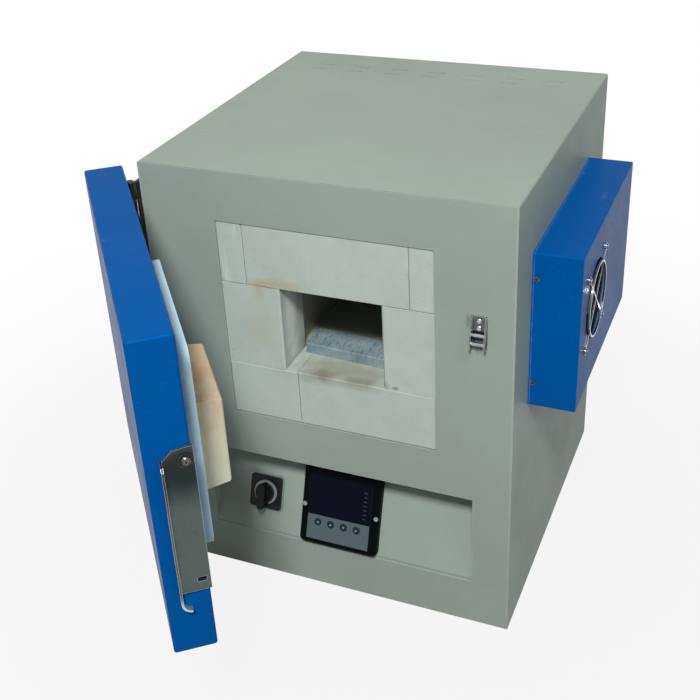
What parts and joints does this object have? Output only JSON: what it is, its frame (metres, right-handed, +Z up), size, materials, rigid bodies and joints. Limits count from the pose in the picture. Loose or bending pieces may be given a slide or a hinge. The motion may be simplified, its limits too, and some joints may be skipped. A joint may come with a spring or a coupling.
{
  "type": "muffle furnace",
  "caption": "Bench-top box furnace with a brick-lined chamber, side-hinged plug door, latch lever, tilted control recess and a side fan box.",
  "frame": {"origin": "middle of the case's underside, on the surface it stands on", "axes": "+Z up, -Y out of the front, +X to the side box"},
  "size_m": [0.4987, 0.7425, 0.52],
  "materials": {
    "grey_paint": "satin powder coat",
    "blue_paint": "glossy powder coat",
    "liner_paint": "satin paint, whitened by heat",
    "inner_steel": "plain zinc-coated sheet",
    "firebrick": "matt, porous",
    "board": "matt, fibrous",
    "plug_brick": "matt, porous, cream",
    "fibre": "soft ceramic fibre blanket",
    "plate_ceramic": "smooth, pale grey-blue",
    "element_wire": "dark oxidised alloy wire",
    "black_plastic": "satin",
    "button_plastic": "satin",
    "screen": "dark glossy window",
    "label_film": "satin film",
    "switch_grey": "satin",
    "chrome_plate": "bright",
    "stainless": "brushed",
    "black_steel": "satin black",
    "fan_plastic": "matt",
    "alloy": "extruded",
    "gland_nylon": "matt",
    "sheath": "smooth"
  },
  "bodies": {
    "case": {"back_panel": "grey_paint", "base_pan": "inner_steel", "brick_bottom_left": "firebrick", "brick_bottom_right": "firebrick", "brick_left": "firebrick", "brick_lintel": "firebrick", "brick_right": "firebrick", "brick_top_left": "firebrick", "brick_top_right": "firebrick", "case_wrap": "grey_paint", "control_panel": "grey_paint", "controller_bezel": "black_plastic", "controller_housing": "black_plastic", "controller_label": "label_film", "controller_screen": "screen", "controller_screws": "chrome_plate", "elements": "element_wire", "fan_frame": "fan_plastic", "fan_guard": "chrome_plate", "front_panel": "grey_paint", "hearth_plate": "plate_ceramic", "heat_sink": "alloy", "hinge_case_leaves": "black_steel", "hinge_pins": "black_steel", "hinge_screws": "black_steel", "inlet_gland": "gland_nylon", "inner_shelf": "inner_steel", "insulation_pack": "fibre", "keeper": "chrome_plate", "keeper_pins": "chrome_plate", "keeper_screws": "chrome_plate", "muffle_back": "board", "muffle_floor": "board", "muffle_left": "board", "muffle_right": "board", "muffle_roof": "board", "side_box_base": "blue_paint", "side_box_cover": "blue_paint", "side_box_screws": "chrome_plate", "switch_body": "black_plastic", "switch_frame": "switch_grey", "switch_plate": "black_plastic", "thermocouple": "sheath"},
    "door": {"door_shell": "blue_paint", "door_back_plate": "blue_paint", "door_liner": "liner_paint", "door_fibre_pad": "fibre", "door_plug": "plug_brick", "door_insulation": "fibre", "hinge_door_leaves": "black_steel", "lever_bolt": "chrome_plate", "lever_washer": "black_steel"},
    "lever": {"latch_lever": "stainless"},
    "switch_knob": {"switch_knob": "black_plastic"},
    "fan": {"fan_rotor": "fan_plastic"},
    "button_1": {"button_1": "button_plastic"},
    "button_2": {"button_2": "button_plastic"},
    "button_3": {"button_3": "button_plastic"},
    "button_4": {"button_4": "button_plastic"}
  },
  "joints": [
    {"name": "door_hinge", "type": "hinge", "parent": "case", "child": "door", "pos_m": [-0.2089, -0.2104, 0.36085], "axis": [0, 0, 1], "range_deg": [-68.8, 51.2]},
    {"name": "lever_pivot", "type": "hinge", "parent": "door", "child": "lever", "pos_m": [0.01255, -0.50275, 0.405], "axis": [-0.6266, 0.7793, 0], "range_deg": [0, 90]},
    {"name": "switch_turn", "type": "hinge", "parent": "case", "child": "switch_knob", "pos_m": [-0.0975, -0.19088, 0.10805], "axis": [0, -0.9397, 0.342], "range_deg": [-90, 0]},
    {"name": "fan_spin", "type": "hinge", "parent": "case", "child": "fan", "pos_m": [0.2375, -0.074, 0.3673], "axis": [1, 0, 0], "continuous": true},
    {"name": "button_1_press", "type": "slide", "parent": "case", "child": "button_1", "axis": [0, 0.9397, -0.342], "range_m": [0, 0.0005], "stiffness_N_per_m": 500},
    {"name": "button_2_press", "type": "slide", "parent": "case", "child": "button_2", "axis": [0, 0.9397, -0.342], "range_m": [0, 0.0005], "stiffness_N_per_m": 500},
    {"name": "button_3_press", "type": "slide", "parent": "case", "child": "button_3", "axis": [0, 0.9397, -0.342], "range_m": [0, 0.0005], "stiffness_N_per_m": 500},
    {"name": "button_4_press", "type": "slide", "parent": "case", "child": "button_4", "axis": [0, 0.9397, -0.342], "range_m": [0, 0.0005], "stiffness_N_per_m": 500}
  ]
}
